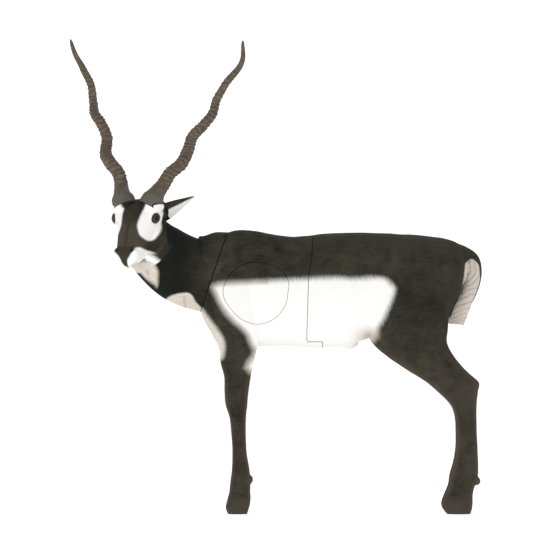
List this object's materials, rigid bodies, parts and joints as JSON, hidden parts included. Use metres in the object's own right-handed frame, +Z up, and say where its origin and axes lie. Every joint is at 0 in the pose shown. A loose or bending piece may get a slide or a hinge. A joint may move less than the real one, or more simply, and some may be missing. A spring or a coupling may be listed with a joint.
{
  "type": "foam blackbuck archery target",
  "caption": "Life-size moulded foam archery target shaped as a standing male blackbuck, with spiral horns and a round replaceable insert.",
  "frame": {"origin": "on the floor under the middle of the bounding box", "axes": "-X the way the body faces, -Y its left flank, +Z up"},
  "size_m": [1.183, 0.3312, 1.3599],
  "materials": {
    "dark_coat": "airbrushed foam, brown-black over white",
    "neck_coat": "airbrushed foam, black over white",
    "face_coat": "airbrushed foam, brown and white",
    "insert_coat": "airbrushed foam, brown-black over white",
    "leg_coat": "airbrushed foam, dark brown",
    "tail_coat": "airbrushed foam, cream with a brown stripe",
    "ear_coat": "airbrushed foam, cream inside and dark outside",
    "eye_paint": "glossy dark brown",
    "horn_paint": "airbrushed horn brown"
  },
  "bodies": {
    "root": {"head": "face_coat", "neck": "neck_coat", "torso_front": "dark_coat", "target_insert": "insert_coat", "torso_rear": "dark_coat", "front_leg_left": "leg_coat", "front_leg_right": "leg_coat", "hind_leg_left": "leg_coat", "hind_leg_right": "leg_coat", "tail": "tail_coat", "ear_left": "ear_coat", "ear_right": "ear_coat", "eye_left": "eye_paint", "eye_right": "eye_paint", "horn_left": "horn_paint", "horn_right": "horn_paint"}
  },
  "joints": []
}
